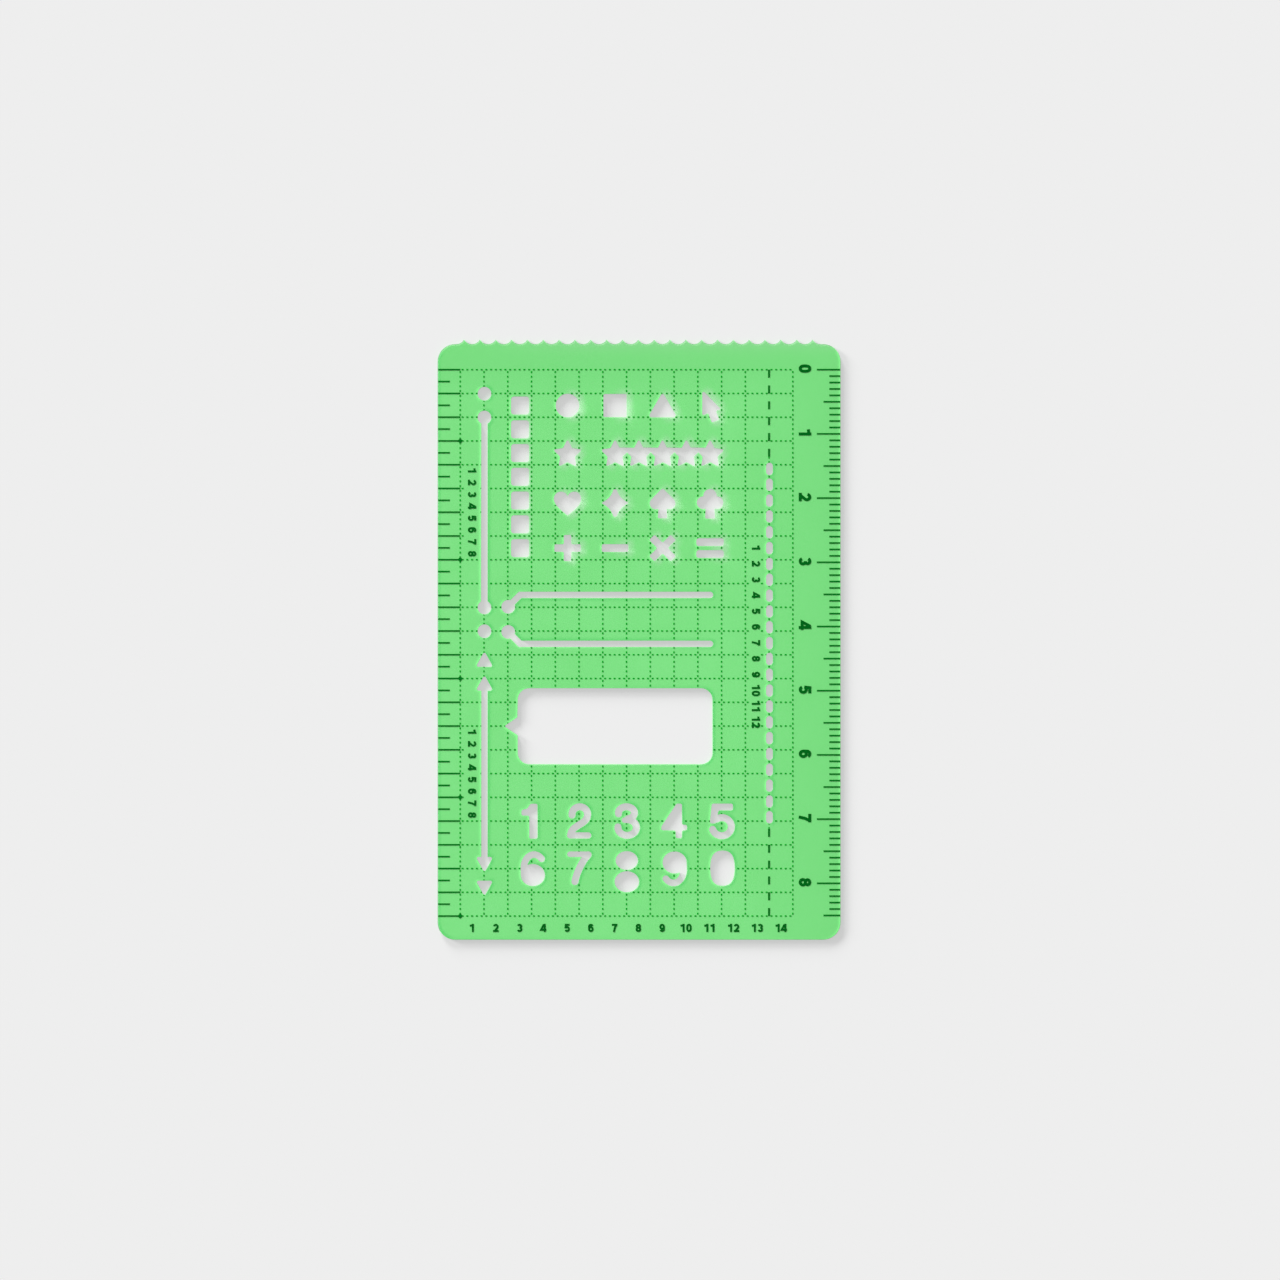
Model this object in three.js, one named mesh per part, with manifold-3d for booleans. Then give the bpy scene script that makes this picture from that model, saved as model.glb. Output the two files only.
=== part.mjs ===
// A planner stencil: one thin tinted plastic sheet with a scalloped top edge, cut through with symbols,
// timelines, leader lines, a speech bubble, a broken line and numerals, all placed on a printed grid
// of small squares. The long printed marks are thin films of ink that lie on the sheet's top face.
// Millimetres. The sheet lies flat, +X across it, +Y along it, +Z up, origin under its middle.

import * as THREE from "three";
import { mergeVertices } from "three/addons/utils/BufferGeometryUtils.js";
import Module from "manifold-3d";

// The sheet and the grid that everything is placed on
const GRID = 3.7; // side of one printed square
const COLUMNS = 14;
const ROWS = 23;
const MARGIN_LEFT = 3.5; // from the sheet's edge to the first grid line
const MARGIN_RIGHT = 7.45;
const MARGIN_BOTTOM = 3.7;
const MARGIN_TOP = 4.66; // from the first grid line to the crests of the scallops
const THICKNESS = 0.5;
const CORNER_RADIUS = 2.7;
const SCALLOP_DEPTH = 0.7;
const STEP = (2 * GRID) / 3; // pitch of the scallops and of the broken line
const STEP_PHASE = 0.25; // both start this share of a step past the first grid line

// Sizes of the cut-outs
const CUT_SHIFT_X = 0.08; // the cutting die sits a little off the print
const CUT_SHIFT_Y = -0.05;
const SYMBOL_SIZE = 3.7; // symbols are drawn on a square of 100 units of this side
const SYMBOL_CORNER = 0.2; // radius that eases the symbols' corners
const TRIANGLE_CORNER = 0.35;
const SPADE_CORNER = 0.3;
const MINUS_CORNER = 0.27;
const EQUALS_CORNER = 0.4;
const NUMERAL_HEIGHT = 5.45; // numerals are drawn on a height of 100 units
const NUMERAL_CORNER = 0.27;
const CHECK_BOX = 2.82;
const CHECK_BOX_RADIUS = 0.45;
const LINE_WIDTH = 0.98; // timelines and leader lines
const NODE_DIAMETER = 2.14; // dots at the ends of the timelines and leaders
const ARROW_WIDTH = 2.7; // before its corners are rounded
const ARROW_HEIGHT = 2.45;
const ARROW_RADIUS = 0.25;
const BUBBLE_MARGIN = 0.37; // the bubble clears its squares by this much
const BUBBLE_RADIUS = 1.8;
const POINTER_LENGTH = 2.1;
const POINTER_HEIGHT = 2.85;
const POINTER_RADIUS = 0.2;
const DASH_LENGTH = 1.93; // slots of the broken line
const DASH_WIDTH = 1.06;

// Places of the cut-outs, in columns and rows of the grid
const SYMBOL_START = [4.5, 1.5];
const SYMBOL_SPACING = 2;
const STAR_ROW_COUNT = 5;
const CHECK_BOX_START = [2.5, 1.5];
const CHECK_BOX_COUNT = 7;
const TIMELINE_COLUMN = 1;
const CIRCLE_TIMELINE = [2, 10]; // rows of its end dots; a loose dot lies a row beyond each
const ARROW_TIMELINE = [13.5, 20.5]; // rows of its heads' bases; a loose head lies a row beyond each
const LEADER_COLUMN = 2;
const LEADER_ROWS = [9.97, 11.03];
const LEADER_LENGTH = 8.5;
const LEADER_BEND = 0.5; // the two leaders part by this much each
const BUBBLE_START = [2.5, 13.5];
const BUBBLE_COLUMNS = 8;
const BUBBLE_ROWS = 3;
const NUMERAL_START = [3, 19];
const NUMERAL_SPACING = 2;
const NUMERALS_IN_A_ROW = 5;
const DASH_COLUMN = 13;

// The printed marks
const INK_THICKNESS = 0.03;
const INK_EDGE_GAP = 0.08; // the print stops this far inside the sheet's edge
const TICK_WIDTH = 0.25;
const MARK_SIZE = 0.86; // diamond on every fifth row, corner to corner
const MARK_EVERY = 5;
const RULER_SPACING = 5; // half centimetres
const RULER_TICKS = 18;
const CENTIMETRE_TICK = 3.7;
const HALF_CENTIMETRE_TICK = 2.66;
const GUIDE_DASHES = 6; // printed dashes at each end of the broken line
const GUIDE_WIDTH = 0.31;

// Modelling tolerances
const FACET = 0.012; // the most that a facet departs from its arc
const CURVE_STEPS = 8; // facets of a free curve
const MOST_OF_HALF = 0.49; // a corner's arc uses up at most this share of an edge
const CUT_OVERRUN = 1; // cutters run past both faces of the sheet
const MERGE = 1e-4;

const SHEET_WIDTH = MARGIN_LEFT + COLUMNS * GRID + MARGIN_RIGHT;
const SHEET_LENGTH = MARGIN_BOTTOM + ROWS * GRID + MARGIN_TOP;
const LEFT = -SHEET_WIDTH / 2;
const RIGHT = SHEET_WIDTH / 2;
const TOP = SHEET_LENGTH / 2;
const BOTTOM = -SHEET_LENGTH / 2;
const columnX = (column) => LEFT + MARGIN_LEFT + column * GRID;
const rowY = (row) => TOP - MARGIN_TOP - row * GRID;
const count = (n) => Array.from({ length: n }, (_, i) => i);
const degrees = THREE.MathUtils.degToRad;

const wasm = await Module();
wasm.setup();

// Outlines are closed lists of [x, y] points

// Points along an arc of an ellipse, as many as keep the facets close to it.
function arc(x, y, radiusX, radiusY, start, end, clockwise = false) {
  const curve = new THREE.EllipseCurve(x, y, radiusX, radiusY, start, end, clockwise);
  const facet = Math.sqrt(8 * Math.max(radiusX, radiusY) * FACET);
  const steps = Math.ceil(curve.getLength() / facet);
  return curve.getPoints(steps).map((point) => point.toArray());
}

// The points with neighbours that coincide, round the loop, taken once.
function distinct(points) {
  return points.filter(([x, y], i) => {
    const [lastX, lastY] = points.at(i - 1);
    return Math.hypot(x - lastX, y - lastY) > MERGE;
  });
}

function ellipse(x, y, radiusX, radiusY) {
  return distinct(arc(x, y, radiusX, radiusY, 0, 2 * Math.PI));
}

const circle = (x, y, radius) => ellipse(x, y, radius, radius);

// An outline through the points, each corner eased by an arc.
function rounded(points, radius) {
  const corners = points.map(([x, y]) => new THREE.Vector2(x, y));
  return corners.flatMap((corner, i) => {
    const back = corners.at(i - 1).clone().sub(corner);
    const ahead = corners[(i + 1) % corners.length].clone().sub(corner);
    const half = back.angleTo(ahead) / 2;
    const room = Math.min(back.length(), ahead.length()) * MOST_OF_HALF;
    const reach = Math.min(radius / Math.tan(half), room);
    const r = reach * Math.tan(half);
    const turnsRight = ahead.cross(back) < 0;
    back.normalize();
    ahead.normalize();
    const centre = back.clone().add(ahead).setLength(r / Math.sin(half)).add(corner);
    const start = back.multiplyScalar(reach).add(corner).sub(centre).angle();
    const end = ahead.multiplyScalar(reach).add(corner).sub(centre).angle();
    return arc(centre.x, centre.y, r, r, start, end, turnsRight);
  });
}

function bar(length, width, radius, y = 0) {
  const [right, low, high] = [length / 2, y - width / 2, y + width / 2];
  return rounded([[-right, low], [right, low], [right, high], [-right, high]], radius);
}

// A line of even width with round ends, mitred where the path bends.
function stroke(points, width) {
  const path = points.map(([x, y]) => new THREE.Vector2(x, y));
  const ways = path.slice(1).map((point, i) => point.clone().sub(path[i]).normalize());
  const toLeft = (way) => new THREE.Vector2(-way.y, way.x);
  const sides = path.map((_, i) => {
    const before = toLeft(ways[Math.max(i - 1, 0)]);
    const after = toLeft(ways[Math.min(i, ways.length - 1)]);
    const middle = before.clone().add(after).normalize();
    return middle.multiplyScalar(width / 2 / middle.dot(before));
  });
  const left = path.map((point, i) => point.clone().add(sides[i]).toArray());
  const right = path.map((point, i) => point.clone().sub(sides[i]).toArray());
  const cap = ({ x, y }, start) => arc(x, y, width / 2, width / 2, start, start - Math.PI, true);
  return distinct([
    ...left,
    ...cap(path.at(-1), sides.at(-1).angle()),
    ...right.toReversed(),
    ...cap(path[0], sides[0].angle() + Math.PI),
  ]);
}

// Drawing in hundredths of a size, with angles in degrees.
function drawingOn(size) {
  const unit = size / 100;
  const points = (list) => list.map(([x, y]) => [x * unit, y * unit]);
  return {
    unit,
    points,
    arc: (x, y, radiusX, radiusY, from, to, clockwise) =>
      arc(x * unit, y * unit, radiusX * unit, radiusY * unit, degrees(from), degrees(to), clockwise),
    ellipse: (x, y, radiusX, radiusY) => ellipse(x * unit, y * unit, radiusX * unit, radiusY * unit),
    curve: (...controls) => {
      const ends = points(controls).map(([x, y]) => new THREE.Vector2(x, y));
      return new THREE.CubicBezierCurve(...ends).getPoints(CURVE_STEPS).map((point) => point.toArray());
    },
  };
}

const symbol = drawingOn(SYMBOL_SIZE);
const numeral = drawingOn(NUMERAL_HEIGHT);

// Half an outline followed by its mirror image.
const withMirror = (points, flip) => distinct([...points, ...points.map(flip).reverse()]);
const leftToRight = ([x, y]) => [-x, y];
const topToBottom = ([x, y]) => [x, -y];
const shifted = (points, byX, byY) => points.map(([x, y]) => [x + byX, y + byY]);

// Symbols, about the middle of their square

const symbolShape = (points, radius = SYMBOL_CORNER) => rounded(symbol.points(points), radius);
const symbolBar = (length, width, radius, y = 0) =>
  bar(length * symbol.unit, width * symbol.unit, radius, y * symbol.unit);

const disc = () => [symbol.ellipse(0, 0, 50, 50)];
const square = () => [symbolShape([[-49, -49], [49, -49], [49, 49], [-49, 49]])];
const triangle = () => [symbolShape([[-62, -50], [62, -50], [0, 58]], TRIANGLE_CORNER)];
const minus = () => [symbolBar(113, 33, MINUS_CORNER)];
const equals = () => [-25, 25].map((y) => symbolBar(116, 33, EQUALS_CORNER, y));
const pointerArrow = () => [
  symbolShape([[-33, 66], [-33, -43], [-8, -32], [7, -72], [39, -60], [24, -20], [51, -20]]),
];

function star() {
  const [outer, inner, drop] = [65, 33, 5.5];
  const points = count(10).map((i) => {
    const angle = degrees(90 + 36 * i);
    const reach = i % 2 ? inner : outer;
    return [reach * Math.cos(angle), reach * Math.sin(angle) - drop];
  });
  return [symbolShape(points)];
}

// Neighbours in the row of stars share their side points, and a band levels these along the top.
function starRow() {
  const [low, high] = [6, 22.5];
  const places = count(STAR_ROW_COUNT).map((i) => i * GRID);
  const end = places.at(-1) / symbol.unit;
  const band = symbolShape([[0, low], [end, low], [end, high], [0, high]]);
  return [band, ...places.flatMap((x) => star().map((points) => shifted(points, x, 0)))];
}

function cross(length, turn) {
  const [far, near] = [length / 2, 16];
  const arm = [[far, -near], [far, near], [near, near]];
  const points = count(4).flatMap((quarter) =>
    arm.map(([x, y]) => {
      const corner = new THREE.Vector2(x, y);
      return corner.rotateAround(new THREE.Vector2(), degrees(90 * quarter + turn)).toArray();
    }),
  );
  return [symbolShape(points)];
}

const plus = () => cross(111, 0);
const times = () => cross(128, 45);

function heart() {
  const [lobeX, lobeY, lobe, tip, tipRadius, tipTurn] = [28, 8, 30, -62, 4, 38];
  const wide = lobeX + lobe;
  const notch = THREE.MathUtils.radToDeg(Math.acos(-lobeX / lobe));
  const flank = degrees(tipTurn - 90);
  const foot = [tipRadius * Math.cos(flank), tip + tipRadius + tipRadius * Math.sin(flank)];
  const right = [
    ...symbol.arc(0, tip + tipRadius, tipRadius, tipRadius, -90, tipTurn - 90),
    ...symbol.curve(foot, [26, -42], [wide, -19], [wide, lobeY]),
    ...symbol.arc(lobeX, lobeY, lobe, lobe, 0, notch),
  ];
  return [withMirror(right, leftToRight)];
}

// Four points with hollow sides, blunt above and below and sharp at the sides.
function sparkle() {
  const [high, wide, blunt, sharp, drop] = [58.5, 55, 10, 4, 10.5];
  const quarter = [
    ...symbol.arc(wide - sharp, 0, sharp, sharp, 0, 90),
    ...symbol.curve([wide - sharp, sharp], [30, 15.5], [18, 29], [blunt, high - blunt]),
    ...symbol.arc(0, high - blunt, blunt, blunt, 0, 90),
  ];
  const upper = withMirror(quarter, leftToRight);
  return [shifted(withMirror(upper, topToBottom), 0, -drop * symbol.unit)];
}

// The flared foot of the spade and the club.
const stem = (top, bottom, neck, foot) =>
  symbolShape([[-foot, bottom], [foot, bottom], [neck, top], [-neck, top]]);

function spade() {
  const [lobeX, lobeY, lobe, tip] = [28.5, -11.5, 25.7, 53];
  const [downX, downY] = [lobeX, lobeY - tip];
  const far = Math.hypot(downX, downY);
  const way = Math.atan2(downY, downX) + Math.asin(lobe / far); // touches the lobe's outside
  const along = Math.sqrt(far ** 2 - lobe ** 2);
  const [shoulderX, shoulderY] = [along * Math.cos(way), tip + along * Math.sin(way)];
  const blade = [[0, tip], [-shoulderX, shoulderY], [0, lobeY - lobe / 2], [shoulderX, shoulderY]];
  return [
    symbol.ellipse(-lobeX, lobeY, lobe, lobe),
    symbol.ellipse(lobeX, lobeY, lobe, lobe),
    symbolShape(blade, SPADE_CORNER),
    stem(-18, -75, 17, 20),
  ];
}

function club() {
  const [topY, top, sideX, sideY, side] = [20.5, 28.5, 29, -9, 27];
  return [
    symbol.ellipse(0, topY, top, top),
    symbol.ellipse(-sideX, sideY, side, side),
    symbol.ellipse(sideX, sideY, side, side),
    symbol.ellipse(0, 0, side, side),
    stem(-16, -76, 18.5, 21),
  ];
}

const SYMBOL_ROWS = [
  [disc, square, triangle, pointerArrow],
  [star, starRow],
  [heart, sparkle, spade, club],
  [plus, minus, times, equals],
];

// Numerals, about the middle of their height, open enough to need few bridges

const filled = (points) => rounded(numeral.points(points), NUMERAL_CORNER);
const drawn = (points, width = 20) => stroke(points, width * numeral.unit);
const straight = (points, width) => drawn(numeral.points(points), width);
const hooked = (x, y, radiusX, radiusY, from, to) => numeral.arc(x, y, radiusX, radiusY, from, to, true);

const one = () => [
  filled([[-30, 16], [-7.5, 16], [-7.5, -50], [16, -50], [16, 50], [-4, 50], [-14, 36], [-30, 32]]),
];

function two() {
  const tail = numeral.curve([23.4, 19.5], [23.4, -12], [-24, -8], [-25.5, -40]);
  return [
    drawn(distinct([...hooked(1, 19.5, 22.4, 22, 185, 0), ...tail])),
    straight([[-25, -40.5], [25, -40.5]], 18),
  ];
}

const three = () => [
  drawn(hooked(-1.5, 24, 23, 17.5, 190, -80)),
  drawn(hooked(0.5, -18, 26.5, 22.5, 80, -185)),
  straight([[-7, 3], [8, 3]], 16),
];

const four = () => [
  filled([
    [6, 50.5], [-37.5, -15], [-37.5, -26], [3.5, -26.5], [3.5, -48.5], [21.5, -48.5],
    [21.5, -26], [36, -26], [36, -10], [21.5, -10], [21.5, 50.5],
  ]),
];

// A bridge joins the middle of the bowl to the sheet below the stem.
const five = () => [
  filled([[31.5, 31], [31.5, 50.5], [-29, 50.5], [-35, -6.5], [-17, -6.5], [-10, 31]]),
  drawn(hooked(-0.5, -15.5, 27.3, 26, 125, -163)),
];

// The bowl and hook of a six, turned half round for a nine.
function sixOrNine(way) {
  const [bowlX, bowlY, shift] = [2.6, -18, way > 0 ? 0 : 3];
  const hook = [...numeral.points([[-22.5, bowlY]]), ...hooked(6, 3.7, 29, 37, 180, 42)];
  const placed = hook.map(([x, y]) => [way * x + shift * numeral.unit, way * y]);
  return [numeral.ellipse(way * bowlX + shift, way * bowlY, 34.5, 31.6), drawn(placed, 19)];
}

function seven() {
  const slope = numeral.curve([25, 40], [8, 22], [-8, -10], [-13, -37]);
  return [straight([[-27, 41.5], [26, 41.5]], 16), drawn(slope)];
}

const eight = () => [numeral.ellipse(-0.5, 23.5, 32, 27), numeral.ellipse(-0.3, -37, 35, 30.2)];

// Fuller at the shoulders than an ellipse.
function zero() {
  const [wide, high, fullness, x, y] = [35, 50.6, 0.7, 1.4, 1.7];
  const shoulder = [[wide, fullness * high], [fullness * wide, high]];
  const quarter = numeral.curve([wide, 0], ...shoulder, [0, high]);
  const upper = withMirror(quarter, leftToRight);
  return [shifted(withMirror(upper, topToBottom), x * numeral.unit, y * numeral.unit)];
}

const NUMERALS = [one, two, three, four, five, () => sixOrNine(1), seven, eight, () => sixOrNine(-1), zero];

// Solids

function extruded(points, depth) {
  const outline = new THREE.Shape(points.map(([x, y]) => new THREE.Vector2(x, y)));
  const geometry = new THREE.ExtrudeGeometry(outline, { depth, bevelEnabled: false });
  geometry.deleteAttribute("normal");
  geometry.deleteAttribute("uv");
  return geometry;
}

function solid(geometry) {
  const merged = mergeVertices(geometry, MERGE);
  const vertProperties = merged.attributes.position.array;
  const triVerts = Uint32Array.from(merged.index.array);
  return new wasm.Manifold(new wasm.Mesh({ numProp: 3, vertProperties, triVerts }));
}

function meshOf(name, body, material) {
  const { vertProperties, triVerts } = body.getMesh();
  const geometry = new THREE.BufferGeometry();
  geometry.setAttribute("position", new THREE.BufferAttribute(vertProperties, 3));
  geometry.setIndex(new THREE.BufferAttribute(triVerts, 1));
  geometry.computeVertexNormals();
  const mesh = new THREE.Mesh(geometry, material);
  mesh.name = name;
  return mesh;
}

// The sheet

// Shallow hollows that meet in points, right to left between the top corners, in step with the grid.
function scallops(trough) {
  const radius = (STEP ** 2 / 4 + SCALLOP_DEPTH ** 2) / (2 * SCALLOP_DEPTH);
  const crest = Math.atan2(SCALLOP_DEPTH - radius, STEP / 2); // angle of a crest, seen from an arc's centre
  const bottom = -Math.PI / 2;
  const stepsTo = (x) => (x - columnX(0)) / STEP + STEP_PHASE;
  const first = Math.ceil(stepsTo(LEFT + CORNER_RADIUS));
  const last = Math.floor(stepsTo(RIGHT - CORNER_RADIUS));
  return count(last - first + 1).flatMap((i) => {
    const x = columnX(0) + (last - i - STEP_PHASE) * STEP;
    const start = i === 0 ? bottom : crest;
    const end = last - i === first ? bottom : -Math.PI - crest;
    return arc(x, trough + radius, radius, radius, start, end, true);
  });
}

function sheetOutline() {
  const trough = TOP - SCALLOP_DEPTH;
  const [left, right] = [LEFT + CORNER_RADIUS, RIGHT - CORNER_RADIUS];
  const [low, high] = [BOTTOM + CORNER_RADIUS, trough - CORNER_RADIUS];
  const corner = (x, y, start) =>
    arc(x, y, CORNER_RADIUS, CORNER_RADIUS, degrees(start), degrees(start + 90));
  return distinct([
    ...corner(left, low, 180),
    ...corner(right, low, 270),
    ...corner(right, high, 0),
    ...scallops(trough),
    ...corner(left, high, 90),
  ]);
}

// Cutters at a place on the grid.
function cutters(column, row, outlines) {
  return outlines.map((outline) => {
    const geometry = extruded(outline, THICKNESS + 2 * CUT_OVERRUN);
    geometry.translate(columnX(column) + CUT_SHIFT_X, rowY(row) + CUT_SHIFT_Y, -CUT_OVERRUN);
    return solid(geometry);
  });
}

function symbolCutters() {
  const [firstColumn, firstRow] = SYMBOL_START;
  return SYMBOL_ROWS.flatMap((symbols, j) =>
    symbols.flatMap((outlines, i) =>
      cutters(firstColumn + i * SYMBOL_SPACING, firstRow + j * SYMBOL_SPACING, outlines()),
    ),
  );
}

function checkBoxCutters() {
  const [column, firstRow] = CHECK_BOX_START;
  const box = bar(CHECK_BOX, CHECK_BOX, CHECK_BOX_RADIUS);
  return count(CHECK_BOX_COUNT).flatMap((i) => cutters(column, firstRow + i, [box]));
}

// A slot through points given in columns and rows from its first point.
const gridLine = (points) => stroke(points.map(([x, y]) => [x * GRID, -y * GRID]), LINE_WIDTH);
const dot = () => circle(0, 0, NODE_DIAMETER / 2);

function circleTimelineCutters() {
  const [start, end] = CIRCLE_TIMELINE;
  return [
    ...[start - 1, start, end, end + 1].flatMap((row) => cutters(TIMELINE_COLUMN, row, [dot()])),
    ...cutters(TIMELINE_COLUMN, start, [gridLine([[0, 0], [0, end - start]])]),
  ];
}

function arrowHead(way) {
  const base = way * ARROW_WIDTH / 2;
  return rounded([[-base, 0], [base, 0], [0, way * ARROW_HEIGHT]], ARROW_RADIUS);
}

function arrowTimelineCutters() {
  const [start, end] = ARROW_TIMELINE;
  return [
    ...[start - 1, start].flatMap((row) => cutters(TIMELINE_COLUMN, row, [arrowHead(1)])),
    ...[end, end + 1].flatMap((row) => cutters(TIMELINE_COLUMN, row, [arrowHead(-1)])),
    ...cutters(TIMELINE_COLUMN, start, [gridLine([[0, 0], [0, end - start]])]),
  ];
}

function leaderCutters() {
  const bends = [-LEADER_BEND, LEADER_BEND];
  return bends.flatMap((bend, i) => {
    const line = gridLine([[0, 0], [LEADER_BEND, bend], [LEADER_LENGTH, bend]]);
    return cutters(LEADER_COLUMN, LEADER_ROWS[i], [dot(), line]);
  });
}

function bubbleCutters() {
  const [column, row] = BUBBLE_START;
  const width = BUBBLE_COLUMNS * GRID + 2 * BUBBLE_MARGIN;
  const height = BUBBLE_ROWS * GRID + 2 * BUBBLE_MARGIN;
  const base = -width / 2;
  const inside = base + BUBBLE_RADIUS;
  const half = POINTER_HEIGHT / 2;
  const pointer = rounded(
    [[base - POINTER_LENGTH, 0], [base, -half], [inside, -half], [inside, half], [base, half]],
    POINTER_RADIUS,
  );
  const body = bar(width, height, BUBBLE_RADIUS);
  return cutters(column + BUBBLE_COLUMNS / 2, row + BUBBLE_ROWS / 2, [body, pointer]);
}

function numeralCutters() {
  const [firstColumn, firstRow] = NUMERAL_START;
  return NUMERALS.flatMap((outlines, i) => {
    const column = firstColumn + NUMERAL_SPACING * (i % NUMERALS_IN_A_ROW);
    const row = firstRow + NUMERAL_SPACING * Math.floor(i / NUMERALS_IN_A_ROW);
    return cutters(column, row, outlines());
  });
}

// The broken line fills the grid's height: printed dashes at both ends and slots between them.
const DASHES = Math.ceil((ROWS * GRID) / STEP);
const dashRow = (k) => ((k + STEP_PHASE) * STEP) / GRID;
const isGuide = (k) => k < GUIDE_DASHES || k >= DASHES - GUIDE_DASHES;

function brokenLineCutters() {
  const slots = count(DASHES).filter((k) => !isGuide(k));
  const outline = bar(DASH_WIDTH, DASH_LENGTH, DASH_WIDTH / 2);
  return slots.flatMap((k) => cutters(DASH_COLUMN, dashRow(k), [outline]));
}

function stencilSheet() {
  const blank = solid(extruded(sheetOutline(), THICKNESS));
  const punched = [
    ...symbolCutters(),
    ...checkBoxCutters(),
    ...circleTimelineCutters(),
    ...arrowTimelineCutters(),
    ...leaderCutters(),
    ...bubbleCutters(),
    ...numeralCutters(),
    ...brokenLineCutters(),
  ];
  return punched.reduce((sheet, cutter) => sheet.subtract(cutter), blank);
}

// The printed marks

function inkFilm(points) {
  const geometry = extruded(points, INK_THICKNESS);
  geometry.translate(0, 0, THICKNESS);
  return solid(geometry);
}

// A straight bar of ink from x0 to x1, of the given width about y.
function inkBar(x0, x1, y, width) {
  const [low, high] = [y - width / 2, y + width / 2];
  return inkFilm([[x0, low], [x1, low], [x1, high], [x0, high]]);
}

// A tick at each grid row, from the left edge to the first grid line, with a diamond on every fifth.
function rowTick(row) {
  const [x, y] = [columnX(0), rowY(row)];
  const tick = inkBar(LEFT + INK_EDGE_GAP, x, y, TICK_WIDTH);
  const half = MARK_SIZE / 2;
  const diamond = [[x - half, y], [x, y - half], [x + half, y], [x, y + half]];
  const marked = (ROWS - row) % MARK_EVERY === 0;
  return marked ? tick.add(inkFilm(diamond)) : tick;
}

// The long ticks of the scale along the right edge, with its zero at the first grid row.
function rulerTick(i) {
  const length = i % 2 ? HALF_CENTIMETRE_TICK : CENTIMETRE_TICK;
  return inkBar(RIGHT - length, RIGHT - INK_EDGE_GAP, rowY(0) - i * RULER_SPACING, TICK_WIDTH);
}

function guideDash(k) {
  const x = columnX(DASH_COLUMN);
  return inkBar(x - GUIDE_WIDTH / 2, x + GUIDE_WIDTH / 2, rowY(dashRow(k)), STEP / 2);
}

const tintedPlastic = new THREE.MeshStandardMaterial({
  name: "tinted_plastic",
  color: 0x7cdf82,
  roughness: 0.45,
  metalness: 0,
  transparent: true,
  opacity: 0.85,
});
const greenInk = new THREE.MeshStandardMaterial({
  name: "green_ink",
  color: 0x005f26,
  roughness: 0.6,
  metalness: 0,
});

const stencil = new THREE.Group();
stencil.name = "planner_stencil";
stencil.add(meshOf("stencil_sheet", stencilSheet(), tintedPlastic));
count(ROWS + 1).forEach((row) => {
  stencil.add(meshOf(`row_tick_${row}`, rowTick(row), greenInk));
});
count(RULER_TICKS).forEach((i) => {
  stencil.add(meshOf(`ruler_tick_${RULER_SPACING * i}mm`, rulerTick(i), greenInk));
});
count(DASHES).filter(isGuide).forEach((k) => {
  stencil.add(meshOf(`guide_dash_${k}`, guideDash(k), greenInk));
});

export default stencil;
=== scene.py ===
"""The planner stencil: a die-cut sheet of tinted plastic with its print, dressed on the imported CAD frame.

The sheet is built again from the outlines of its CAD node, with rounded cut edges. The long printed marks
are the CAD nodes themselves. The dots of the grid, the short ticks and the numbers are thin films of ink
made here. Lengths are in metres, and the frame is the CAD model's own.
"""
import math

import bmesh
import bpy
import numpy as np
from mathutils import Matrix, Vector
from mathutils.geometry import delaunay_2d_cdt


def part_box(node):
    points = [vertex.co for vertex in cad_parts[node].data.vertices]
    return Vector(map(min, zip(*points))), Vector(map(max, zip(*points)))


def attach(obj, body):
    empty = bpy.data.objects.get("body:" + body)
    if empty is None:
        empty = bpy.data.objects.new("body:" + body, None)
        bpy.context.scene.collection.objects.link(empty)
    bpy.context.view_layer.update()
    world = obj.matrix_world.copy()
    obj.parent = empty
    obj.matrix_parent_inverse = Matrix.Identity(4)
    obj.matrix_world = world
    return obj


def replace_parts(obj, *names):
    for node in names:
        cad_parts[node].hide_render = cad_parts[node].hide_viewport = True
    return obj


MM = 0.001
CM = 10 * MM

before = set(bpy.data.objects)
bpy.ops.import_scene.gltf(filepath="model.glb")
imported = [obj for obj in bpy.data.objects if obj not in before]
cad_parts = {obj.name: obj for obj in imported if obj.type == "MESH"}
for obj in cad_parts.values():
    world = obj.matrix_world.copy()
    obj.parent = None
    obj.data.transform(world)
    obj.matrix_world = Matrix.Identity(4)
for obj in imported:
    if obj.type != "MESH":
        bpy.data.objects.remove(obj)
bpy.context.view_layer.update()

SHEET = "stencil_sheet"
ROWS = 23
COLUMNS = 14

# Print
INK_THICKNESS = 0.03 * MM
DOTS_PER_CELL = 5
DOT_LENGTH = 0.33 * MM
DOT_WIDTH = 0.23 * MM
DOT_THICKNESS = 0.026 * MM
DOT_ROUNDING = 0.07 * MM
DOT_CORNER_STEPS = 2
DOT_SLICES = 5
DOT_LEAST = 0.4
BROKEN_LINE_COLUMN = 13
BROKEN_LINE_ENDS = ("guide_dash_5", "guide_dash_29")
TICK_WIDTH = 0.25 * MM
HALF_ROW_TICK = 1.8 * MM
MILLIMETRE_TICK = 1.68 * MM
MILLIMETRES = 85
LONG_TICK_STEP = 5
CENTIMETRES = 8
RULER_NUMBER_HEIGHT = 1.95 * MM
RULER_NUMBER_INSET = 5.55 * MM
RULER_NUMBER_SHIFT = 0.16 * MM
SIDE_NUMBER_HEIGHT = 1.3 * MM
SIDE_NUMBER_COLUMN = 0.5
SIDE_NUMBER_ROWS = (4.25, 15.25)
SIDE_NUMBER_COUNT = 8
SIDE_NUMBER_STEP = 1 / 2
SLOT_NUMBER_COLUMN = 12.45
SLOT_NUMBER_ROW = 7.5
SLOT_NUMBER_COUNT = 12
SLOT_STEP = 2 / 3
COLUMN_NUMBER_HEIGHT = 1.28 * MM
COLUMN_NUMBER_DROP = 1.85 * MM
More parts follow.
